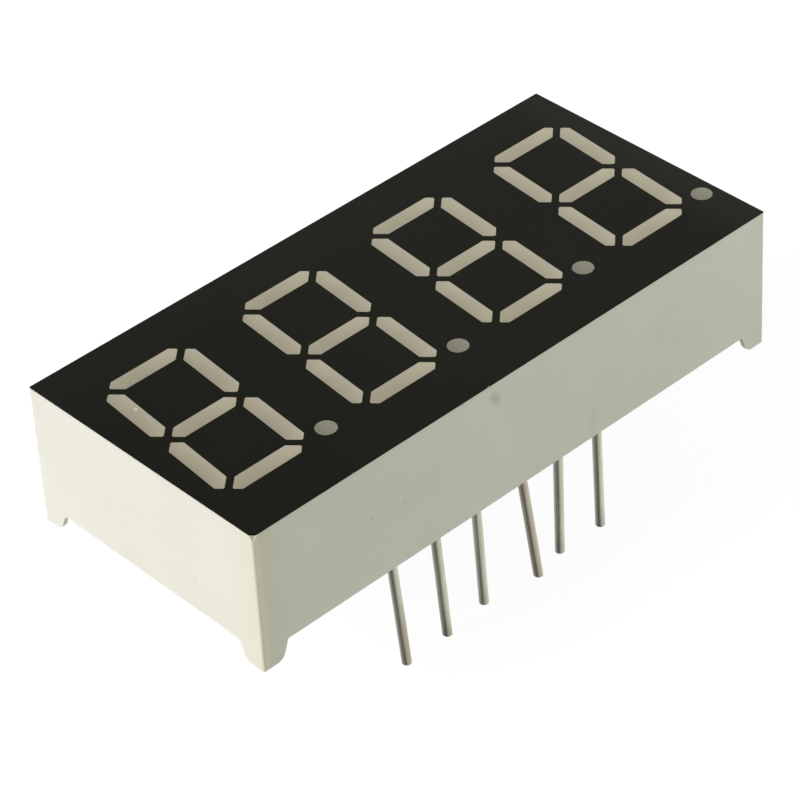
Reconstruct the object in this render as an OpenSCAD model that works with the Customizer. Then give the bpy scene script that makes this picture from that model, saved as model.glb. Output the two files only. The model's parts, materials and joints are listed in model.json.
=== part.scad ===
// Four-digit seven segment display module with two rows of wire pins.
// The origin is the centre of the seating plane, where the four feet meet a circuit board.
// +X runs along the digits, +Y points to the top of a digit and +Z out of the face.
// A white moulding forms the body and the funnels that carry each lamp's light to the face.
// Clear resin fills the funnels and bonds in the board, which carries the dice and the pins.

/* [Housing] */
// Length of the housing at its feet
body_l = 30.1; // [29.8:0.1:32]
// Width of the housing at its feet
body_w = 14.05; // [13.8:0.05:16]
// Height of the face above the seating plane
body_h = 7.15; // [6.5:0.05:9]
// How far each end wall leans in towards the face
end_draft = 0.06; // [0:0.01:0.12]
// How far each long wall leans in towards the face
side_draft = 0.02; // [0:0.01:0.12]
// Radius on the four upright edges
edge_round = 0.1; // [0.05:0.01:0.2]
// Thickness of the end walls beside the board
end_wall = 0.9; // [0.7:0.05:1]
// Inside radius where the walls beside the board meet
wall_round = 0.3; // [0.1:0.05:0.5]

/* [Feet] */
// Height of the corner feet under the lower edge of the walls
foot_h = 0.94; // [0.4:0.02:1.1]
// Width of a foot where it meets the wall
foot_top = 1.4; // [1.1:0.05:2]
// Width of a foot on the seating plane, before its inner corner is rounded
foot_base = 1.06; // [0.8:0.02:1.2]
// Radius of the inner corner of a foot on the seating plane
foot_round = 0.45; // [0.05:0.05:0.5]
// Radius where an end wall's lower edge runs into a foot
foot_blend = 0.3; // [0.1:0.05:0.5]
// Thickness of a foot at its inner ends
foot_skin = 0.25; // [0.15:0.05:0.4]
// Width of a foot's full thickness on the seating plane
foot_core = 0.8; // [0.7:0.05:0.9]

/* [Worn corner] */
// Reach of the worn corner along the length
nick_l = 0.22; // [0.05:0.01:0.5]
// Reach of the worn corner along the width
nick_w = 0.24; // [0.05:0.01:0.5]
// Reach of the worn corner down the vertical edge
nick_h = 0.26; // [0.05:0.01:0.5]

/* [Digits] */
// How much shorter the row of digit cells is than the housing
cell_relief = 0.1; // [0:0.05:0.3]
// How far the digits sit to the left of the middle of the face
digit_shift = 0.04; // [0:0.01:0.1]
// How far the digits sit above the middle of the face
digit_lift = 0.1; // [0:0.01:0.15]
// Lean of the digits in degrees
slant = 5; // [0:0.5:8]
// Width of a segment
seg_w = 0.81; // [0.7:0.01:0.9]
// Gap between two segments, measured square across it
seg_gap = 0.35; // [0.25:0.01:0.45]
// Size of the cut on the outer corner of a segment
seg_cut = 0.3; // [0.2:0.01:0.35]
// Radius on the corners of a segment
seg_round = 0.09; // [0.04:0.01:0.1]
// Diameter of the decimal point
dot_d = 0.96; // [0.8:0.01:1]
// Distance from a decimal point to the right side of its digit's cell
dot_margin = 0.335; // [0.3:0.005:0.5]
// Distance from a decimal point to the upright centre line beside it, unslanted
dot_gap = 0.44; // [0.4:0.01:0.6]
// How far a decimal point sits above its digit's lowest centre line
dot_lift = 0.03; // [0:0.01:0.1]

/* [Light funnels] */
// Thickness of the black layer on the face
mask_t = 0.05; // [0.03:0.01:0.1]
// Bare rim that the black layer leaves along the face's edge
mask_rim = 0.02; // [0.01:0.01:0.1]
// Depth of the straight stretch under the face
lip_h = 0.4; // [0.2:0.05:1]
// Length of a funnel's mouth at the board
mouth_l = 1.5; // [1.3:0.05:1.8]
// Width of a funnel's mouth at the board
mouth_w = 0.56; // [0.5:0.01:0.6]
// Diameter of a dot funnel's mouth at the board
dot_mouth = 0.95; // [0.92:0.01:1]
// How far a dot's lamp sits nearer the digit than its dot
dot_lead = 0.85; // [0.7:0.01:1]
// How far a dot's lamp sits above its dot
dot_rise = 0.25; // [0:0.01:0.4]

/* [Board] */
// Thickness of the board
board_t = 1; // [0.8:0.1:1.2]
// Height of the board's back face above the lower edge of the walls
board_recess = 0.46; // [0.4:0.02:0.8]
// Distance from the pins' copper rings to the board's long edges
ring_margin = 0.345; // [0.3:0.005:0.5]
// Gap between the board's edge and the walls
board_play = 0.2; // [0.1:0.05:0.25]
// Height of the seats that hold the board off the funnels
seat_h = 0.15; // [0.1:0.01:0.3]
// Diameter of a seat
seat_d = 1; // [0.6:0.1:1.2]
// Distance from a seat's centre to the walls beside it
seat_inset = 0.95; // [0.9:0.05:1]
// Thickness of the copper on the board
copper_t = 0.035; // [0.02:0.005:0.07]
// How far the resin round the board stops short of its back face
resin_dip = 0.12; // [0.05:0.01:0.3]

/* [Lamps] */
// Width of a light-emitting die
die_w = 0.25; // [0.2:0.01:0.3]
// Height of a die
die_h = 0.12; // [0.08:0.01:0.2]
// Distance from a die to the pad that its wire runs to
bond_span = 0.5; // [0.45:0.01:0.6]
// Width of the pads for dice and wires
pad_w = 0.36; // [0.32:0.01:0.4]
// Gap between the outermost pads and the pins' copper rings, which sets the digits' height
pad_gap = 0.09; // [0.06:0.01:0.15]
// Diameter of a bond wire
wire_d = 0.03; // [0.02:0.005:0.05]

/* [Pins] */
// Distance between neighbouring pins in a row
pin_pitch = 2.54; // [2:0.01:2.6]
// Distance between the two rows of pins
row_gap = 10.16; // [10.1:0.01:10.3]
// Diameter of the pin wire
pin_d = 0.45; // [0.4:0.01:0.5]
// How far the pins reach below the seating plane
pin_reach = 6.5; // [2.5:0.1:12]
// How far the pins stand out of the board's front face
pin_head = 0.3; // [0.1:0.05:0.4]
// Straight stretch of a pin between its solder and the bend at its root
bend_drop = 0.1; // [0.05:0.05:0.3]
// How far the wire swells where it is bent
bend_swell = 0.01; // [0.005:0.005:0.03]
// Width of the slope round the cut end of a pin
tip_slope = 0.08; // [0.04:0.01:0.12]
// Diameter of the holes for the pins in the board
hole_d = 0.7; // [0.55:0.01:0.75]
// Diameter of the copper rings round the holes
land_d = 1; // [0.9:0.01:1.1]
// Height of the solder cones on the board's back face
solder_h = 0.35; // [0.2:0.01:0.4]
// Thickness of the solder at the tip of its cone
solder_rim = 0.1; // [0.09:0.01:0.12]
// Resin round a pin's head in its pocket
pocket_play = 0.12; // [0.08:0.01:0.16]
// How far a wire that looks straight still stands off plumb at its tip
plumb_error = 0.08; // [0.08:0.01:0.15]

/* [Hidden] */
$fn = 48;
overcut = 0.5; // how far cutting shapes run past what they cut
arc_steps = 3; // flats in each rounded outline corner
dot_sides = 32; // flats round a decimal point

digit_count = 4;
pins_per_row = 6;
PINS = [1 : 2 * pins_per_row];
DIGITS = [1 : digit_count];

// Tip of each pin against its root, front row from the left, then back row from the right.
bent_by = [[0.3, -0.42], [0.23, -0.35], [0.26, -0.06], [0.63, -0.47], [-0.09, -0.06], [0.01, -0.18]];
pin_lean = concat(bent_by, [for (i = [1 : pins_per_row]) [0, plumb_error]]);

// Root of each pin against its hole's centre, in the same order.
set_by = [[0, 0], [0.02, -0.02], [0, 0], [0.04, -0.04], [0.02, -0.02], [-0.06, 0.06]];
pin_set = concat(set_by, [for (i = [1 : pins_per_row]) [0, 0]]);

// Heights above the seating plane
top_z = body_h - mask_t;
lip_z = top_z - lip_h;
board_z = foot_h + board_recess;
board_top_z = board_z + board_t;
floor_z = board_top_z + seat_h;
resin_z = board_z + resin_dip;
pad_z = board_top_z + copper_t;
solder_z = board_z - copper_t - solder_h;
bend_z = solder_z - bend_drop;

// Plan sizes
top_l = body_l - 2 * end_draft;
top_w = body_w - 2 * side_draft;
board_w = row_gap + land_d + 2 * ring_margin;
room_w = board_w + 2 * board_play;
room_l = body_l - 2 * end_wall;
board_l = room_l - 2 * board_play;

// Digits: the cells follow from the housing's length, the height from the pins' rows
digit_pitch = (body_l - cell_relief) / digit_count;
dot_x = digit_pitch / 2 - dot_margin - dot_d / 2;
column_x = dot_x - dot_d / 2 - dot_gap;
row_y = (row_gap - land_d - pad_w) / 2 - pad_gap - digit_lift;
half_w = seg_w / 2;
mitre = seg_gap / sqrt(2); // a segment's end, drawn back along its centre line from the crossing
dot_name = "p";

// Name, centre, turn, half its centre line, and whether its far and near ends are at a digit's corner
SEGMENTS = [
    ["a", [0, row_y], 0, column_x, true, true],
    ["b", [column_x, row_y / 2], -90, row_y / 2, false, true],
    ["c", [column_x, -row_y / 2], -90, row_y / 2, true, false],
    ["d", [0, -row_y], 180, column_x, true, true],
    ["e", [-column_x, -row_y / 2], 90, row_y / 2, false, true],
    ["f", [-column_x, row_y / 2], 90, row_y / 2, true, false],
    ["g", [0, 0], 0, column_x, false, false],
];
LAMPS = [each [for (s = SEGMENTS) s[0]], dot_name];

function pin_node(n) = str("pin_", n);
function die_node(d, k) = str("die_", d, k);
function wires_node(d) = str("bond_wires_", d);

// ---- Outlines ----

function unit(v) = v / norm(v);
function turned(p, a) = [p[0] * cos(a) - p[1] * sin(a), p[0] * sin(a) + p[1] * cos(a)];
function slanted(p) = [p[0] + p[1] * tan(slant), p[1]];

// The corner at b, on the way from a to c, as an arc of radius r
function arc_corner(a, b, c, r) =
    let (u = unit(a - b), v = unit(c - b), half = acos(u * v) / 2)
    let (centre = b + unit(u + v) * r / sin(half))
    let (first = b + u * r / tan(half) - centre, last = b + v * r / tan(half) - centre)
    [for (i = [0 : arc_steps]) centre + r * unit(first * (arc_steps - i) + last * i)];

// An outline with each corner an arc, where radii holds one radius for each corner and 0 keeps it sharp
function rounded(points, radii) =
    let (n = len(points))
    [for (i = [0 : n - 1])
        each radii[i] > 0
            ? arc_corner(points[(i + n - 1) % n], points[i], points[(i + 1) % n], radii[i])
            : [points[i]]];

function box_outline(l, w) = [[-l, -w], [l, -w], [l, w], [-l, w]] / 2;

// One end of a segment, from the point where the centre lines cross:
// an outer end has one long mitre and a small cut, a middle end comes to a point.
function segment_end(outer) = outer
    ? [
        [-half_w - mitre, -half_w],
        [half_w - seg_cut - mitre, half_w - seg_cut],
        [half_w - 2 * seg_cut - mitre, half_w],
    ]
    : [[-half_w - mitre, -half_w], [-mitre, 0], [-half_w - mitre, half_w]];

function segment_outline(reach, far_outer, near_outer) =
    let (far = [for (p = segment_end(far_outer)) [reach + p[0], p[1]]])
    let (near = [for (p = segment_end(near_outer)) [-reach - p[0], p[1]]])
    let (points = [each far, near[2], near[1], near[0]])
    rounded(points, [for (p = points) seg_round]);

// A segment's outline in its digit's frame, shrunk about its own centre along and across it
function segment_window(s, along = 1, across = 1) =
    [for (p = segment_outline(s[3], s[4], s[5]))
        slanted(s[1] + turned([p[0] * along, p[1] * across], s[2]))];

function segment_mouth(s) = segment_window(s, mouth_l / 2 / (s[3] - mitre), mouth_w / seg_w);

function ring(centre, d) =
    [for (i = [0 : dot_sides - 1]) centre + d / 2 * [cos(i * 360 / dot_sides), sin(i * 360 / dot_sides)]];

dot_at = [dot_x, dot_lift - row_y];
dot_lamp_at = dot_at + [-dot_lead, dot_rise];

function digit_at(d) = [(d - (digit_count + 1) / 2) * digit_pitch - digit_shift, digit_lift];
function segment_of(k) = SEGMENTS[search([k], SEGMENTS)[0]];
function is_dot(k) = k == dot_name;
function lamp_at(k) = is_dot(k) ? dot_lamp_at : slanted(segment_of(k)[1]);
function lamp_turn(k) = is_dot(k) ? 90 : segment_of(k)[2];

function pin_at(n) = n <= pins_per_row
    ? [(n - (pins_per_row + 1) / 2) * pin_pitch, -row_gap / 2]
    : [((3 * pins_per_row + 1) / 2 - n) * pin_pitch, row_gap / 2];
function root_at(n) = pin_at(n) + pin_set[n - 1];

// ---- Shared shapes ----

// A closed solid between two outlines with as many points each
module loft(low, high, z_low, z_high) {
    n = len(low);
    points = [each [for (p = low) [p[0], p[1], z_low]], each [for (p = high) [p[0], p[1], z_high]]];
    sides = [for (i = [0 : n - 1], t = [0, 1])
        let (j = (i + 1) % n)
        t == 0 ? [j, i, n + i] : [j, n + i, n + j]];
    ends = [[for (i = [0 : n - 1]) i], [for (i = [0 : n - 1]) 2 * n - 1 - i]];
    polyhedron(points, concat(sides, ends));
}

module slab(outline, z_low, z_high) {
    translate([0, 0, z_low]) linear_extrude(z_high - z_low) polygon(outline);
}

module at_each_digit() {
    for (d = DIGITS) translate(digit_at(d)) children();
}

module at_each_pin() {
    for (n = PINS) translate(pin_at(n)) children();
}

module at_each_root() {
    for (n = PINS) translate(root_at(n)) children();
}

// A lamp's place in its digit, with X along its segment
module at_lamp(k) {
    translate(lamp_at(k)) rotate(lamp_turn(k)) children();
}

// The straight stretches of one digit's openings, between two heights
module windows(z_low, z_high) {
    for (s = SEGMENTS) slab(segment_window(s), z_low, z_high);
    slab(ring(dot_at, dot_d), z_low, z_high);
}

// One digit's funnels, from the straight stretches down to the mouths over the dice
module funnels() {
    for (s = SEGMENTS) loft(segment_mouth(s), segment_window(s), floor_z, lip_z);
    loft(ring(dot_lamp_at, dot_mouth), ring(dot_at, dot_d), floor_z, lip_z);
}

// The room between the walls, where the board and the back of the resin are
module room(z_low, z_high) {
    slab(rounded(box_outline(room_l, room_w), [for (i = [1 : 4]) wall_round]), z_low, z_high);
}

module pin_pockets() {
    depth = pin_head + pocket_play - seat_h;
    at_each_pin() translate([0, 0, floor_z]) cylinder(h = depth, d = pin_d + 2 * pocket_play);
}

module seats() {
    for (x = [-1, 1], y = [-1, 1])
        translate([x * (room_l / 2 - seat_inset), y * (room_w / 2 - seat_inset), board_top_z])
            cylinder(h = seat_h, d = seat_d);
}

// What wear has taken off the face's near left corner
module worn_corner() {
    grow = 1 + overcut / nick_l + overcut / nick_w + overcut / nick_h;
    translate([-top_l / 2 - overcut, -top_w / 2 - overcut, top_z + overcut])
        polyhedron(
            [[0, 0, 0], [nick_l * grow, 0, 0], [0, nick_w * grow, 0], [0, 0, -nick_h * grow]],
            [[0, 2, 1], [0, 1, 3], [0, 3, 2], [1, 2, 3]]
        );
}

// ---- Housing and face ----

// A wall seen square on: two feet, the raised lower edge between them and the draft above
module wall_outline(l, draft, blend) {
    points = [
        [-l / 2, 0], [-l / 2 + foot_base, 0], [-l / 2 + foot_top, foot_h],
        [l / 2 - foot_top, foot_h], [l / 2 - foot_base, 0], [l / 2, 0],
        [l / 2 - draft, top_z], [-l / 2 + draft, top_z],
    ];
    polygon(rounded(points, [0, foot_round, blend, blend, foot_round, 0, 0, 0]));
}

// What rounding takes off the upright edge at +X +Y, which leans in with the walls
module edge_waste() {
    reach = edge_round + overcut;
    translate([body_l / 2 - edge_round, body_w / 2 - edge_round, 0])
        rotate([atan(side_draft / top_z), -atan(end_draft / top_z), 0])
            difference() {
                translate([0, 0, -overcut]) cube([reach, reach, top_z + 2 * overcut]);
                translate([0, 0, -2 * overcut]) cylinder(h = top_z + 4 * overcut, r = edge_round);
            }
}

// What is missing behind the thin ends of the foot at +X +Y, which leaves a wedge in its corner
module foot_hollow() {
    far = 2 * foot_top;
    function plan(core) =
        [[foot_skin, far], [foot_skin, core], [core, foot_skin], [far, foot_skin], [far, far]];
    spread = (foot_top - foot_core) / foot_h;
    translate([body_l / 2, body_w / 2, 0]) rotate(180)
        loft(plan(foot_core - spread * overcut), plan(foot_top), -overcut, foot_h);
}

module outer_form() {
    difference() {
        intersection() {
            rotate([90, 0, 0]) linear_extrude(body_w + 2 * overcut, center = true)
                wall_outline(body_l, end_draft, 0);
            rotate([90, 0, 90]) linear_extrude(body_l + 2 * overcut, center = true)
                wall_outline(body_w, side_draft, foot_blend);
        }
        for (x = [0, 1], y = [0, 1]) mirror([x, 0, 0]) mirror([0, y, 0]) {
            edge_waste();
            foot_hollow();
        }
    }
}

module reflector_housing() {
    color("ivory") {
        difference() {
            outer_form();
            room(-overcut, floor_z);
            at_each_digit() windows(lip_z, top_z + overcut);
            at_each_digit() funnels();
            pin_pockets();
            worn_corner();
        }
        seats();
    }
}

module face_mask() {
    color("black") difference() {
        slab(box_outline(top_l - 2 * mask_rim, top_w - 2 * mask_rim), top_z, body_h);
        at_each_digit() windows(top_z - overcut, body_h + overcut);
        worn_corner();
    }
}

// ---- Board and lamps ----

module circuit_board() {
    color("darkgreen") difference() {
        slab(box_outline(board_l, board_w), board_z, board_top_z);
        at_each_pin() translate([0, 0, board_z - overcut])
            cylinder(h = board_t + 2 * overcut, d = hole_d);
    }
}

module lands(z) {
    at_each_pin() translate([0, 0, z]) difference() {
        cylinder(h = copper_t, d = land_d);
        translate([0, 0, -overcut]) cylinder(h = copper_t + 2 * overcut, d = hole_d);
    }
}

module lamp_pads(k) {
    at_lamp(k) for (x = [-1, 1])
        translate([x * bond_span / 2, 0, board_top_z + copper_t / 2])
            cube([pad_w, pad_w, copper_t], center = true);
}

module front_copper() {
    color("goldenrod") {
        lands(board_top_z);
        at_each_digit() for (k = LAMPS) lamp_pads(k);
    }
}

module back_copper() {
    color("goldenrod") lands(board_z - copper_t);
}

// Solder fills the hole round each pin and ends in a cone on the board's back
module solder_joints() {
    color("silver") difference() {
        at_each_pin() rotate_extrude() polygon([
            [0, solder_z], [pin_d / 2 + solder_rim, solder_z], [land_d / 2, board_z - copper_t],
            [hole_d / 2, board_z - copper_t], [hole_d / 2, pad_z], [0, pad_z],
        ]);
        at_each_root() cylinder(h = pad_z + overcut, d = pin_d);
    }
}

module die(k) {
    color("khaki") at_lamp(k) translate([-bond_span / 2, 0, pad_z + die_h / 2])
        cube([die_w, die_w, die_h], center = true);
}

// A wire arches from the top of a die and comes down on the pad beside it
module bond_wire(k) {
    at_lamp(k) {
        translate([0, 0, pad_z + die_h]) rotate([90, 0, 0])
            rotate_extrude(angle = 180) translate([bond_span / 2, 0]) circle(d = wire_d);
        translate([bond_span / 2, 0, pad_z]) cylinder(h = die_h, d = wire_d);
    }
}

module bond_wires(d) {
    color("gold") translate(digit_at(d)) for (k = LAMPS) bond_wire(k);
}

// ---- Pins ----

// What cutting a wire off level takes away: all below its tip, and the sharp edge round it
module tip_waste() {
    difference() {
        translate([0, 0, -2 * overcut]) cylinder(h = tip_slope + 3 * overcut, d = pin_d + overcut);
        cylinder(h = tip_slope + 2 * overcut, d1 = pin_d - 2 * tip_slope, d2 = pin_d + 4 * overcut);
    }
}

// A wire that stands upright through the board, bends at its root and ends in a level cut
module pin(n) {
    lean = pin_lean[n - 1];
    drop = bend_z + pin_reach;
    color("lightgray") translate(root_at(n)) difference() {
        translate([0, 0, bend_z]) {
            cylinder(h = board_top_z + pin_head - bend_z, d = pin_d);
            sphere(d = pin_d + 2 * bend_swell);
            rotate([0, 180 - atan2(norm(lean), drop), atan2(lean[1], lean[0])])
                cylinder(h = drop + overcut, d = pin_d);
        }
        translate([lean[0], lean[1], -pin_reach]) tip_waste();
    }
}

// ---- Resin ----

module resin_fill() {
    color("tan") difference() {
        union() {
            at_each_digit() windows(lip_z, body_h);
            at_each_digit() funnels();
            room(resin_z, floor_z);
            pin_pockets();
        }
        seats();
        slab(box_outline(board_l, board_w), board_z, board_top_z);
        front_copper();
        at_each_root() cylinder(h = board_top_z + pin_head, d = pin_d);
        at_each_pin() translate([0, 0, board_top_z]) cylinder(h = copper_t, d = hole_d);
        at_each_digit() for (k = LAMPS) die(k);
        for (d = DIGITS) bond_wires(d);
    }
}

reflector_housing();
face_mask();
resin_fill();
circuit_board();
front_copper();
back_copper();
solder_joints();
for (n = PINS) pin(n);
for (d = DIGITS, k = LAMPS) translate(digit_at(d)) die(k);
for (d = DIGITS) bond_wires(d);
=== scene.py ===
"""The looks of a seven segment display module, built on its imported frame.

The frame is in metres: the origin is the centre of the seating plane, +X runs along the digits,
+Y to the top of a digit and +Z out of the face. The lengths in this file are in millimetres, and
its colours are sRGB from 0 to 255, unless a name or a comment says otherwise.
"""

import json
import math

import bpy
from mathutils import Matrix, Vector


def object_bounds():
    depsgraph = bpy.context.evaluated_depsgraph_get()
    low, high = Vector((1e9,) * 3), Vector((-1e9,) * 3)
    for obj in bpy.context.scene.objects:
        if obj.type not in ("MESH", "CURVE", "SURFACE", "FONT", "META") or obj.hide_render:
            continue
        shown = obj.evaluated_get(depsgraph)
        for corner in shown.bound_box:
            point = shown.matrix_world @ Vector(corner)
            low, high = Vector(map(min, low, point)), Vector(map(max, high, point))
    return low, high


MM = 0.001

# The digits: their step along the part, what moves them from an even spread, and how they lean
DIGIT_PITCH = 7.5
DIGIT_SHIFT = 0.04
DIGIT_LIFT = 0.1
SLANT = math.radians(5)
# From a digit's middle to the middle lines of its outer level segments and of its upright ones
ROW_Y = 4.21
COLUMN_X = 2.015
DOT_AT = (2.935, -4.18)
DOT_R = 0.48

# The face's height and half sizes, the two walls that meet at the near edge, and the pins' tips
FACE_Z = 7.15
FACE_HALF = (14.97, 6.985)
FRONT_WALL_Y = -7.0
END_WALL_X = -15.0
WIRE_TIP_Z = -6.5

# Noise between the first two values turns one colour into the other. Between the second two, it
# turns the least roughness into the most.
CLOUDY = (0.35, 0.65)
NOISE_SPAN = (0.3, 0.7)

# White moulding, with painted light and shade at the near upright edge and the worn corner
PLASTIC = {
    "plain": (242, 239, 227), "cloudy": (239, 235, 223), "flow": (216, 212, 192),
    "front": (224, 216, 198), "warm": (235, 228, 209), "beside": (255, 246, 226),
    "line": (202, 193, 172), "worn": (158, 150, 130), "speck": (176, 170, 150),
    "mark": (132, 128, 100),
}
# Where the turn to a yellower colour towards the front starts and is full
YELLOWER_Y = (6, -6.9)
# Tints at the near upright edge: how far from it each is full, and where it ends. The paler tint
# next to it is painted light, and the brownish strip down it is painted shade
WARM_REACH = (0.3, 2.2)
EDGE_SHADE_REACH = (0.06, 0.12)
EDGE_LIGHT_REACH = (0.15, 0.5)
# How far behind the front wall's plane the painted light next to the edge is full, and where it ends
EDGE_LIGHT_DEPTH = (0.02, 0.1)
# The corner where wear shows, whose brown is partly its own and partly painted shade, and how far
# inside both walls' planes its tint starts and is full
WORN_CORNER = (-15.0, -7.0, 7.05)
WORN_RADII = (0.4, 0.4, 0.5)
WORN_INSET = 0.015
WORN_RIM = (0.016, 0.03)
# Marks on the walls: centre, radii, softness of the edge, depth
WALL_MARKS = (
    ((-1.50, FRONT_WALL_Y, 6.23), (0.21, 1, 0.21), 0.9, 0.27),
    ((-1.72, FRONT_WALL_Y, 6.49), (0.21, 1, 0.21), 0.9, 0.27),
    ((-6.93, FRONT_WALL_Y, 3.98), (0.10, 1, 0.10), 0.8, 0.20),
    ((-8.78, FRONT_WALL_Y, 4.29), (0.08, 1, 0.08), 0.8, 0.20),
    ((4.10, FRONT_WALL_Y, 1.70), (0.20, 1, 0.95), 0.7, 0.06),
    ((10.0, FRONT_WALL_Y, 3.1), (0.9, 1, 0.6), 0.9, 0.03),
    ((END_WALL_X, -3.05, 2.58), (1, 0.10, 0.10), 0.8, 0.15),
)

# Black ink
INK = {
    "left": (16, 17, 8), "left_cloudy": (18, 19, 10), "plain": (21, 22, 13),
    "plain_cloudy": (23, 24, 16), "rubbed": (58, 60, 56), "grain": (40, 40, 34),
    "nick": (196, 192, 176),
}
# Where the ink turns from the left end's colour to the plain one, and where it is rubbed
INK_TURN_X = (-14, 2)
RUBBED_X = (12.0, 14.6)
RUBBED_Y = (3.8, 6.6)
# How far a nick reaches in from the face's edge, and the softness of its rim
NICK_REACH = (-0.02, 0.075)
NICK_RIM = 0.03

# Milky resin
RESIN = {
    "plain": (189, 181, 158), "cloudy": (185, 176, 154), "level_shaded_end": (174, 166, 144),
    "level_lit_end": (196, 187, 164), "upright_shade": (158, 149, 130), "shaded": (150, 142, 124),
    "lit": (212, 206, 190), "far": (225, 217, 193), "grain": (205, 198, 176),
    "dot_shaded_side": (134, 132, 116), "dot_lit_side": (152, 146, 130), "fleck": (226, 218, 198),
}
# A level segment: its half width and half length, where it ends, and where its colour turns
# from painted shade to painted light
LEVEL_SIDE = (0.42, 0.60)
LEVEL_END = (1.7, 2.0)
LEVEL_TURN = (-0.65, 1.75)
# An upright segment's painted shade is darkest this far below its middle, and paler with the
# way from there
UPRIGHT_SHADE_DROP = 0.4
UPRIGHT_SHADE_REACH = (0.3, 1.6)
# The shaded side and the lit side of a segment, across it
SHADED_SIDE = (-0.36, 0.06)
LIT_SIDE = (-0.02, 0.36)
# What a step across a level segment counts for, against one across an upright segment
LEVEL_ACROSS = 0.5
# The digits grow paler from one end of the part to the other
PALER_X = (-13, 13)
# How far outside a dot its colour is full, and where it ends, and the half width over which it
# turns from painted shade to painted light
DOT_RIM = (0.04, 0.1)
DOT_TURN = 0.45
# A bright fleck in the first digit's upper left segment: its two ends and their radii
FLECK_ENDS = ((-12.936, 2.534, FACE_Z), (-12.884, 2.596, FACE_Z))
FLECK_RADII = (0.065, 0.065, 1)

# Board, with the repeats of its weave along X and Y
BOARD = {"plain": (36, 92, 54), "cloudy": (44, 104, 62), "weave": (78, 128, 76)}
WEAVE = (0.55, 0.45)

# Metals
PLATING = {"plain": (224, 182, 108), "cloudy": (196, 146, 84)}
SOLDER = {"plain": (198, 200, 203), "frosted": (150, 152, 152)}
TIN = {
    "plain": (208, 206, 186), "drawn": (196, 193, 172), "dull": (164, 152, 126),
    "tip": (140, 134, 122), "stain": (146, 128, 102), "nick": (120, 114, 100),
}
BOND_WIRE = {"plain": (236, 196, 110), "drawn": (216, 168, 84)}
# How far above its tip a pin is still browner
TIP_REACH = (0.15, 1.6)
# Brown and dull places on the pins: centre, radii, softness of the edge, depth
WIRE_STAINS = (
    ((-5.89, -5.61, -4.8), (0.30, 0.30, 1.9), 0.6, 0.64),
    ((-3.72, -5.20, -0.9), (0.22, 0.30, 1.2), 0.6, 0.22),
    ((-3.52, -5.50, -6.6), (0.50, 0.50, 0.9), 0.6, 0.42),
    ((1.62, -5.30, -2.9), (0.70, 0.60, 3.6), 0.4, 0.36),
    ((1.90, -5.55, -5.8), (0.40, 0.40, 1.4), 0.6, 0.26),
)

# Dice, with the rate at which their layers follow each other, in radians for each millimetre
DIE = {"layer": (186, 170, 104), "other_layer": (146, 124, 70), "cloudy": (104, 86, 52)}
DIE_LAYERS = 180

# Floor, with its half size and its gap below the tips in metres. The camera sees this share of it
# as a white glow, and the rest as paint, with the part's shadow on it.
FLOOR_HALF = 3.0
FLOOR_GAP = 0.00002
FLOOR_COLOUR = (224, 228, 220)
FLOOR_GLOW = 1.10
FLOOR_GLOW_SHARE = 0.86

# Light from all round
FILL_COLOUR = (244, 255, 240)
FILL_STRENGTH = 0.27
# What mirrors see of the studio is white but for these sides. Each has the direction to its middle,
# the cosines at which it starts and is full, its depth, its linear colour, and how that is laid on.
STUDIO_SIDES = (
    ((-0.95, -0.31, 0), (-0.6, 0.4), 0.28, (0, 0, 0, 1), "MIX"),
    ((-0.55, 0.83, 0), (0.25, 0.74), 0.9, (0.62, 0.68, 0.79, 1), "MULTIPLY"),
    ((-0.95, -0.31, 0), (0.36, 0.78), 0.80, (0, 0, 0, 1), "MIX"),
)
# The upward cosines between which those sides end
SIDES_END = (0.05, 0.45)

# Lamps, with their colours as linear shares and the key lamp's spread in degrees
KEY_FROM = (-0.79, 0.20, 0.58)
KEY_STRENGTH = 2.52
KEY_SPREAD = 25
KEY_COLOUR = (0.985, 0.958, 1.0)
SIDE_LAMP_AT = (80, -60, 30)
SIDE_LAMP_TARGET = (12, -7, 4)
SIDE_LAMP_WATTS = 0.0150
SIDE_LAMP_SIZE = 30

# Camera, with its near and far limits in metres
LENS = 153.694
SENSOR = 36
CAMERA_AT = (-77.7195, -87.6257, 93.7514)
CAMERA_RIGHT = (0.724311, -0.687755, -0.048645)
CAMERA_FORWARD = (0.5189, 0.590219, -0.618372)
CAMERA_LIMITS = (0.01, 10)

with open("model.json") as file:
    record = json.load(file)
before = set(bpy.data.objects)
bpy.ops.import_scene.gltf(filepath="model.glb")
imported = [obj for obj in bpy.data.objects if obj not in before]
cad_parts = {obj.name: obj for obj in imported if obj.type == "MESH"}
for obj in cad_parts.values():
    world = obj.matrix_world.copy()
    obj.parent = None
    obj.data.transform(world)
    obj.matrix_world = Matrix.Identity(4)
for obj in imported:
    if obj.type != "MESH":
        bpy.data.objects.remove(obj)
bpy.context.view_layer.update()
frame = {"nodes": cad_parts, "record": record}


# ---- Node graphs ----

def linear(colour):
    """An sRGB colour, 0 to 255, as the linear colour that a shader takes."""
    def one(v):
        v /= 255
        return v / 12.92 if v <= 0.04045 else ((v + 0.055) / 1.055) ** 2.4
    return tuple(one(v) for v in colour) + (1.0,)


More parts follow.
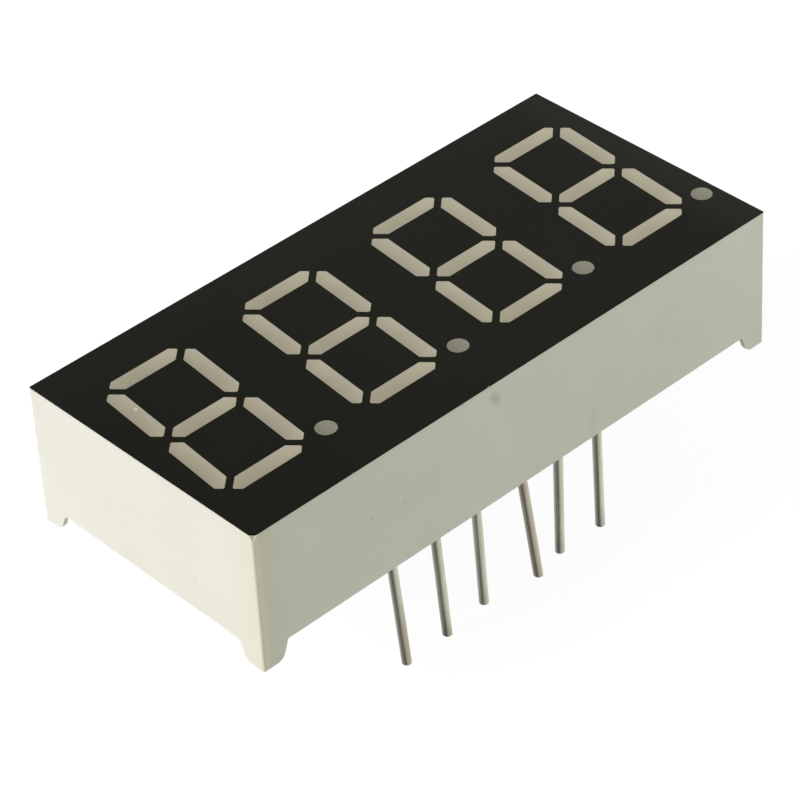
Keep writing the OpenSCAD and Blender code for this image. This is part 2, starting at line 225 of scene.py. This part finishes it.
class Tree:
    """A node tree and short ways of adding nodes to it."""

    def __init__(self, tree):
        self.tree = tree

    def put(self, value, socket):
        """Links an output to an input socket, or gives the input a value."""
        if isinstance(value, bpy.types.NodeSocket):
            self.tree.links.new(value, socket)
        else:
            socket.default_value = value

    def add(self, kind, inputs=None, **settings):
        node = self.tree.nodes.new(kind)
        for key, value in settings.items():
            setattr(node, key, value)
        for key, value in (inputs or {}).items():
            self.put(value, node.inputs[key])
        return node

    def math(self, operation, a, b=0.0):
        return self.add("ShaderNodeMath", {0: a, 1: b}, operation=operation).outputs[0]

    def vector(self, operation, a, b):
        return self.add("ShaderNodeVectorMath", {0: a, 1: b}, operation=operation).outputs[0]

    def ramp(self, value, low, high, to_low=0.0, to_high=1.0):
        node = self.add("ShaderNodeMapRange", {
            "Value": value, "From Min": low, "From Max": high, "To Min": to_low, "To Max": to_high,
        }, interpolation_type="SMOOTHSTEP")
        return node.outputs["Result"]

    def mix(self, factor, a, b, blend="MIX"):
        node = self.add("ShaderNodeMix", data_type="RGBA", blend_type=blend)
        for socket, value in ((0, factor), (6, a), (7, b)):
            self.put(value, node.inputs[socket])
        return node.outputs[2]

    def mix_shaders(self, factor, a, b):
        return self.add("ShaderNodeMixShader", {0: factor, 1: a.outputs[0], 2: b.outputs[0]})


class Look(Tree):
    """A material, its shader and the nodes that are added to it."""

    def __init__(self, name, **shader):
        self.material = bpy.data.materials.new(name)
        self.material.use_nodes = True
        super().__init__(self.material.node_tree)
        self.shader = self.tree.nodes["Principled BSDF"]
        self.finish(**shader)
        self.at = self.add("ShaderNodeTexCoord").outputs["Object"]

    def finish(self, **inputs):
        """Gives the shader some of its inputs, and returns the material."""
        for key, value in inputs.items():
            self.put(value, self.shader.inputs[key.replace("_", " ")])
        return self.material

    def scaled(self, factors=(1, 1, 1)):
        """The place in millimetres, times a factor for each axis."""
        return self.vector("MULTIPLY", self.at, [f / MM for f in factors])

    def parts(self):
        """X, Y and Z in millimetres."""
        return self.add("ShaderNodeSeparateXYZ", {0: self.scaled()}).outputs

    def wrap(self, value, high, low):
        return self.add("ShaderNodeMath", {0: value, 1: high, 2: low}, operation="WRAP").outputs[0]

    def near(self, centre, radii, soft):
        """1 inside a round or oval patch, 0 outside."""
        moved = self.vector("SUBTRACT", self.scaled(), list(centre))
        shaped = self.vector("MULTIPLY", moved, [1 / r for r in radii])
        far = self.add("ShaderNodeVectorMath", {0: shaped}, operation="LENGTH").outputs["Value"]
        return self.ramp(far, 1 - soft, 1 + soft, 1, 0)

    def noise(self, per_mm, detail, rough=0.5, stretch=(1, 1, 1), distortion=0.0):
        """Noise with about per_mm features in a millimetre."""
        node = self.add("ShaderNodeTexNoise", {
            "Vector": self.scaled(stretch), "Scale": per_mm, "Detail": detail,
            "Roughness": rough, "Distortion": distortion,
        })
        return node.outputs["Fac"]

    def mottle(self, noise, plain, other, turn=CLOUDY):
        """A colour that turns into another one where the noise is high."""
        return self.mix(self.ramp(noise, *turn), linear(plain), linear(other))

    def tint(self, colour, amount, shade):
        """A colour turned towards a shade by an amount from 0 to 1."""
        return self.mix(amount, colour, linear(shade))

    def patches(self, colour, places, shade):
        """A colour with a shade laid over places, each with its centre, radii, softness and depth."""
        for centre, radii, soft, depth in places:
            amount = self.math("MULTIPLY", self.near(centre, radii, soft), depth)
            colour = self.tint(colour, amount, shade)
        return colour

    def bump(self, height, depth, strength, normal=None):
        inputs = {"Height": height, "Distance": depth * MM, "Strength": strength}
        if normal:
            inputs["Normal"] = normal
        return self.add("ShaderNodeBump", inputs).outputs["Normal"]


def white_moulding():
    """White plastic, very slightly mottled, with the few marks that handling has left."""
    g = Look("white_moulding", IOR=1.5)
    colour = g.mottle(g.noise(0.16, 3, 0.55), PLASTIC["plain"], PLASTIC["cloudy"])
    # Flow marks, faint and long
    haze = g.noise(0.7, 5, 0.62, stretch=(0.6, 0.6, 1), distortion=0.5)
    colour = g.tint(colour, g.ramp(haze, 0.52, 0.80, 0, 0.16), PLASTIC["flow"])
    # A little yellower towards the front
    x, y, _ = g.parts()
    colour = g.tint(colour, g.ramp(y, *YELLOWER_Y, 0, 0.10), PLASTIC["front"])
    # Warmer on both sides of the near upright edge
    from_end = g.math("SUBTRACT", x, END_WALL_X)
    from_front = g.math("SUBTRACT", y, FRONT_WALL_Y)
    from_edge = g.math("MAXIMUM", from_end, from_front)
    colour = g.tint(colour, g.ramp(from_edge, *WARM_REACH, 0.6, 0), PLASTIC["warm"])
    # Paler next to the edge on the front wall, a painted highlight, with a brownish strip of painted
    # shade down the edge itself
    beside = g.math("MULTIPLY", g.ramp(from_end, *EDGE_LIGHT_REACH, 0.55, 0),
                    g.ramp(from_front, *EDGE_LIGHT_DEPTH, 1, 0))
    colour = g.tint(colour, beside, PLASTIC["beside"])
    colour = g.tint(colour, g.ramp(from_edge, *EDGE_SHADE_REACH, 0.3, 0), PLASTIC["line"])
    # Browner at the corner's wear, partly the wear's own colour and partly painted shade on its
    # facet, but not on the walls next to it
    inside = g.math("MINIMUM", g.math("SUBTRACT", from_end, WORN_INSET), from_front)
    worn = g.math("MULTIPLY", g.near(WORN_CORNER, WORN_RADII, 0.2),
                  g.ramp(inside, *WORN_RIM, 0, 0.85))
    colour = g.tint(colour, worn, PLASTIC["worn"])
    # Handling dirt, in a few faint spots
    colour = g.tint(colour, g.ramp(g.noise(2.3, 2), 0.765, 0.80, 0, 0.22), PLASTIC["speck"])
    colour = g.patches(colour, WALL_MARKS, PLASTIC["mark"])
    wave = g.bump(g.noise(0.5, 2), 0.015, 0.25)
    return g.finish(
        Base_Color=colour,
        Roughness=g.ramp(haze, *NOISE_SPAN, 0.44, 0.56),
        Normal=g.bump(g.noise(14, 2, 0.6), 0.002, 0.3, wave),
    )


def black_ink():
    """Matt printing ink, worn through in places along the face's edges."""
    g = Look("black_ink", IOR=1.45, Specular_IOR_Level=0.07)
    cloud = g.noise(0.25, 3, 0.55)
    x, y, _ = g.parts()
    left = g.mottle(cloud, INK["left"], INK["left_cloudy"])
    plain = g.mottle(cloud, INK["plain"], INK["plain_cloudy"])
    colour = g.mix(g.ramp(x, *INK_TURN_X), left, plain)
    # Rubbed a little greyer towards the back edge and the right end
    rubbed = g.math("MAXIMUM", g.ramp(x, *RUBBED_X), g.ramp(y, *RUBBED_Y, 0, 0.3))
    colour = g.tint(colour, g.math("MULTIPLY", rubbed, 0.23), INK["rubbed"])
    grain = g.noise(11, 3, 0.7)
    colour = g.tint(colour, g.ramp(grain, 0.62, 0.80, 0, 0.25), INK["grain"])
    # Nicks along the face's edges, where the moulding shows through
    edge = g.math("MINIMUM", *(
        g.math("SUBTRACT", half, g.math("ABSOLUTE", place)) for half, place in zip(FACE_HALF, (x, y))
    ))
    reach = g.ramp(g.noise(2.6, 4, 0.65), 0.60, 0.78, *NICK_REACH)
    nick = g.ramp(g.math("SUBTRACT", reach, edge), 0.0, NICK_RIM, 0, 0.8)
    return g.finish(
        Base_Color=g.tint(colour, nick, INK["nick"]),
        Roughness=g.ramp(grain, *NOISE_SPAN, 0.46, 0.60),
        Normal=g.bump(grain, 0.003, 0.4),
    )


def milky_resin():
    """Diffusing resin over the light cavities.

    Its light and shade are painted: a level segment grows paler along +X, and an upright one is
    darkest a little below its middle. Each has painted shade on its left or lower side and painted
    light on the other.
    """
    g = Look("milky_resin", IOR=1.53, Specular_IOR_Level=0.3)
    x, y, _ = g.parts()
    # The place in its digit, with the lean taken out
    cell = g.wrap(g.math("ADD", x, DIGIT_SHIFT), DIGIT_PITCH, 0.0)
    cell = g.math("SUBTRACT", cell, DIGIT_PITCH / 2)
    row = g.math("SUBTRACT", y, DIGIT_LIFT)
    along = g.math("SUBTRACT", cell, g.math("MULTIPLY", row, math.tan(SLANT)))
    # How far from the middle line of the nearest level segment, and of the nearest upright one
    from_level = g.wrap(row, ROW_Y / 2, -ROW_Y / 2)
    from_upright = g.wrap(g.math("SUBTRACT", along, COLUMN_X), COLUMN_X, -COLUMN_X)
    is_level = g.math("MULTIPLY", g.ramp(g.math("ABSOLUTE", from_level), *LEVEL_SIDE, 1, 0),
                      g.ramp(g.math("ABSOLUTE", along), *LEVEL_END, 1, 0))
    is_upright = g.math("SUBTRACT", 1.0, is_level)
    cloud = g.noise(0.5, 3)
    plain = g.mottle(cloud, RESIN["plain"], RESIN["cloudy"])
    # Painted light along a level segment: paler towards +X, where the cavity's far wall is lit
    painted_sweep = g.mottle(along, RESIN["level_shaded_end"], RESIN["level_lit_end"], turn=LEVEL_TURN)
    colour = g.mix(is_level, plain, painted_sweep)
    # Painted shade, a little below the middle of an upright segment
    from_upright_shade = g.math("SUBTRACT", g.math("ABSOLUTE", g.math("ADD", row, UPRIGHT_SHADE_DROP)), ROW_Y / 2)
    upright_shade = g.ramp(g.math("ABSOLUTE", from_upright_shade), *UPRIGHT_SHADE_REACH, 0.24, 0)
    colour = g.tint(colour, g.math("MULTIPLY", upright_shade, is_upright), RESIN["upright_shade"])
    # Painted shade on one side of every segment, where its rim shadows the light, and painted light
    # on the other
    across = g.math("ADD", g.math("MULTIPLY", from_upright, is_upright),
                    g.math("MULTIPLY", g.math("MULTIPLY", from_level, LEVEL_ACROSS), is_level))
    colour = g.tint(colour, g.ramp(across, *SHADED_SIDE, 0.34, 0), RESIN["shaded"])
    colour = g.tint(colour, g.ramp(across, *LIT_SIDE, 0, 0.28), RESIN["lit"])
    # The digits grow a little paler along the part
    colour = g.tint(colour, g.ramp(x, *PALER_X, 0.0, 0.10), RESIN["far"])
    colour = g.tint(colour, g.ramp(g.noise(3.2, 3, 0.6), 0.45, 0.80, 0, 0.12), RESIN["grain"])
    # The dots, with painted shade on their left side and painted light on their right
    dx = g.math("SUBTRACT", cell, DOT_AT[0])
    dy = g.math("SUBTRACT", row, DOT_AT[1])
    from_dot = g.math("SQRT", g.math("ADD", g.math("MULTIPLY", dx, dx), g.math("MULTIPLY", dy, dy)))
    is_dot = g.ramp(from_dot, *(DOT_R + rim for rim in DOT_RIM), 1, 0)
    dot = g.mottle(dx, RESIN["dot_shaded_side"], RESIN["dot_lit_side"], turn=(-DOT_TURN, DOT_TURN))
    colour = g.mix(is_dot, colour, dot)
    # One bright fleck in the first digit
    fleck = g.math("MAXIMUM", *(g.near(end, FLECK_RADII, 0.6) for end in FLECK_ENDS))
    colour = g.tint(colour, fleck, RESIN["fleck"])
    fine = g.noise(8, 3, 0.6)
    return g.finish(
        Base_Color=colour,
        Roughness=g.ramp(fine, *NOISE_SPAN, 0.40, 0.52),
        Normal=g.bump(fine, 0.002, 0.35, g.bump(cloud, 0.015, 0.3)),
    )


def board_laminate():
    """Green coated glass fibre laminate with its weave just showing."""
    g = Look("board_laminate", IOR=1.5)
    x, y, _ = g.parts()
    warp, weft = (
        g.math("SINE", g.math("MULTIPLY", place, 2 * math.pi / repeat))
        for place, repeat in zip((x, y), WEAVE)
    )
    weave = g.math("MULTIPLY", warp, weft)
    colour = g.mottle(g.noise(0.4, 3, 0.6), BOARD["plain"], BOARD["cloudy"])
    return g.finish(
        Base_Color=g.tint(colour, g.ramp(weave, 0.1, 1.0, 0, 0.35), BOARD["weave"]),
        Roughness=g.ramp(weave, -1, 1, 0.30, 0.42),
        Normal=g.bump(weave, 0.006, 0.5),
    )


def gold_plating():
    """Gold on the board's copper, redder in clouds."""
    g = Look("gold_plating", Metallic=1.0)
    cloud = g.noise(2.5, 4, 0.6)
    return g.finish(
        Base_Color=g.mottle(cloud, PLATING["plain"], PLATING["cloudy"], turn=(0.35, 0.68)),
        Roughness=g.ramp(cloud, *NOISE_SPAN, 0.24, 0.42),
        Normal=g.bump(g.noise(16, 2, 0.6), 0.002, 0.4),
    )


def solder():
    """Solder, frosted in places."""
    g = Look("solder", Metallic=1.0)
    frost = g.noise(6, 5, 0.7)
    return g.finish(
        Base_Color=g.mottle(frost, SOLDER["plain"], SOLDER["frosted"], turn=(0.4, 0.7)),
        Roughness=g.ramp(frost, *NOISE_SPAN, 0.16, 0.44),
        Normal=g.bump(frost, 0.012, 0.5),
    )


def tinned_wire():
    """Tin drawn out along the wire, duller and browner towards its cut end."""
    g = Look("tinned_wire", Metallic=1.0)
    _, _, z = g.parts()
    drawn = g.noise(7, 4, 0.6, stretch=(1, 1, 0.05))
    dull = g.noise(0.9, 4, 0.6, stretch=(1, 1, 0.4))
    colour = g.mottle(drawn, TIN["plain"], TIN["drawn"], turn=(0.35, 0.68))
    colour = g.tint(colour, g.ramp(dull, 0.55, 0.78, 0, 0.5), TIN["dull"])
    tip = g.ramp(z, *(WIRE_TIP_Z + reach for reach in TIP_REACH), 0.30, 0)
    colour = g.tint(colour, tip, TIN["tip"])
    colour = g.patches(colour, WIRE_STAINS, TIN["stain"])
    nicks = g.noise(5, 2, stretch=(1, 1, 0.8))
    colour = g.tint(colour, g.ramp(nicks, 0.74, 0.80, 0, 0.4), TIN["nick"])
    return g.finish(
        Base_Color=colour,
        Roughness=g.ramp(dull, *NOISE_SPAN, 0.18, 0.30),
        Normal=g.bump(drawn, 0.004, 0.4, g.bump(nicks, 0.008, 0.25)),
    )


def lamp_die():
    """A lamp's die, in fine level layers."""
    g = Look("lamp_die", Metallic=0.35, IOR=2.2)
    _, _, z = g.parts()
    layers = g.math("SINE", g.math("MULTIPLY", z, DIE_LAYERS))
    colour = g.mottle(layers, DIE["layer"], DIE["other_layer"], turn=(-1, 1))
    return g.finish(
        Base_Color=g.tint(colour, g.ramp(g.noise(9, 3, 0.6), 0.45, 0.7, 0, 0.6), DIE["cloudy"]),
        Roughness=g.ramp(g.noise(12, 2), *NOISE_SPAN, 0.22, 0.40),
    )


def gold_wire():
    """Fine gold wire with drawing marks."""
    g = Look("gold_wire", Metallic=1.0)
    drawn = g.noise(30, 3, 0.6)
    return g.finish(
        Base_Color=g.mottle(drawn, BOND_WIRE["plain"], BOND_WIRE["drawn"]),
        Roughness=g.ramp(drawn, *NOISE_SPAN, 0.14, 0.26),
    )


MAKERS = {
    "white_moulding": white_moulding, "black_ink": black_ink, "milky_resin": milky_resin,
    "board_laminate": board_laminate, "gold_plating": gold_plating, "solder": solder,
    "tinned_wire": tinned_wire, "lamp_die": lamp_die, "gold_wire": gold_wire,
}
looks = {name: make() for name, make in MAKERS.items()}
for part in frame["record"]["subparts"]:
    mesh = frame["nodes"][part["node"]].data
    mesh.materials.clear()
    mesh.materials.append(looks[part["material_slot"]])


# ---- Studio ----

scene = bpy.context.scene
scene.view_settings.view_transform = "Standard"

low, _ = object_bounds()


def aim(lamp, source):
    """Turns a lamp so that its light comes from the source's direction."""
    lamp.rotation_mode = "QUATERNION"
    lamp.rotation_quaternion = Vector(source).to_track_quat("Z", "Y")


def make_floor():
    """A pale floor at the pins' tips: white to the camera, with the part's shadow faint on it.

    Its back is clear, so that a view from below shows the underside.
    """
    corners = [(FLOOR_HALF * x, FLOOR_HALF * y, 0) for x, y in ((-1, -1), (1, -1), (1, 1), (-1, 1))]
    mesh = bpy.data.meshes.new("floor")
    mesh.from_pydata(corners, [], [(0, 1, 2, 3)])
    floor = bpy.data.objects.new("floor", mesh)
    floor.location.z = low.z - FLOOR_GAP
    floor.visible_glossy = False
    scene.collection.objects.link(floor)
    material = bpy.data.materials.new("floor")
    material.use_nodes = True
    material.node_tree.nodes.clear()
    g = Tree(material.node_tree)
    to_camera = g.add("ShaderNodeLightPath").outputs["Is Camera Ray"]
    paint = g.add("ShaderNodeBsdfDiffuse", {"Color": linear(FLOOR_COLOUR)})
    glow = g.add("ShaderNodeEmission", {"Strength": FLOOR_GLOW})
    front = g.mix_shaders(g.math("MULTIPLY", to_camera, FLOOR_GLOW_SHARE), paint, glow)
    is_back = g.add("ShaderNodeNewGeometry").outputs["Backfacing"]
    both = g.mix_shaders(is_back, front, g.add("ShaderNodeBsdfTransparent"))
    g.add("ShaderNodeOutputMaterial", {"Surface": both.outputs[0]})
    mesh.materials.append(material)


def make_world():
    """Even light from all round. Camera, mirror and glass rays see the white studio.

    The studio's dark side, low and to the front left, is what draws the dark streak down the pins.
    """
    world = bpy.data.worlds.new("studio")
    scene.world = world
    world.use_nodes = True
    world.node_tree.nodes.clear()
    g = Tree(world.node_tree)
    towards = g.add("ShaderNodeTexCoord").outputs["Generated"]

    def facing(direction):
        node = g.add("ShaderNodeVectorMath", {0: towards, 1: direction}, operation="DOT_PRODUCT")
        return node.outputs["Value"]

    low_down = g.ramp(facing((0, 0, 1)), *SIDES_END, 1, 0)
    colour = (1, 1, 1, 1)
    for direction, turn, depth, shade, blend in STUDIO_SIDES:
        amount = g.math("MULTIPLY", g.ramp(facing(direction), *turn, 0, depth), low_down)
        colour = g.mix(amount, colour, shade, blend)

    path = g.add("ShaderNodeLightPath").outputs
    fill = g.add("ShaderNodeBackground", {"Color": linear(FILL_COLOUR), "Strength": FILL_STRENGTH})
    studio = g.add("ShaderNodeBackground", {"Color": colour, "Strength": 1.0})
    white = g.add("ShaderNodeBackground", {"Color": (1, 1, 1, 1), "Strength": 1.0})
    lit = g.mix_shaders(path["Is Glossy Ray"], fill, studio)
    straight = g.math("MAXIMUM", path["Is Camera Ray"], path["Is Transmission Ray"])
    g.add("ShaderNodeOutputWorld", {"Surface": g.mix_shaders(straight, lit, white).outputs[0]})


def make_key():
    """The main lamp, a wide sun to the left of the part and above it."""
    sun = bpy.data.lights.new("key", "SUN")
    sun.energy = KEY_STRENGTH
    sun.angle = math.radians(KEY_SPREAD)
    sun.color = KEY_COLOUR
    key = bpy.data.objects.new("key", sun)
    aim(key, KEY_FROM)
    scene.collection.objects.link(key)


def make_side_lamp():
    """A weak soft lamp at the front right, which leaves the front wall paler towards its far end."""
    disk = bpy.data.lights.new("side", "AREA")
    disk.shape = "DISK"
    disk.size = SIDE_LAMP_SIZE * MM
    disk.energy = SIDE_LAMP_WATTS
    side = bpy.data.objects.new("side", disk)
    side.location = Vector(SIDE_LAMP_AT) * MM
    aim(side, (Vector(SIDE_LAMP_AT) - Vector(SIDE_LAMP_TARGET)) * MM)
    side.visible_glossy = False
    side.visible_camera = False
    scene.collection.objects.link(side)


def make_camera():
    """The photograph's viewpoint: to the front left of the part, above it and rolled a little."""
    lens = bpy.data.cameras.new("camera")
    lens.sensor_width = SENSOR
    lens.lens = LENS
    lens.clip_start, lens.clip_end = CAMERA_LIMITS
    camera = bpy.data.objects.new("camera", lens)
    right = Vector(CAMERA_RIGHT).normalized()
    back = -Vector(CAMERA_FORWARD).normalized()
    up = back.cross(right)
    rotation = Matrix((right, up, back)).transposed().to_4x4()
    camera.matrix_world = Matrix.Translation(Vector(CAMERA_AT) * MM) @ rotation
    scene.collection.objects.link(camera)
    scene.camera = camera


make_floor()
make_world()
make_key()
make_side_lamp()
make_camera()
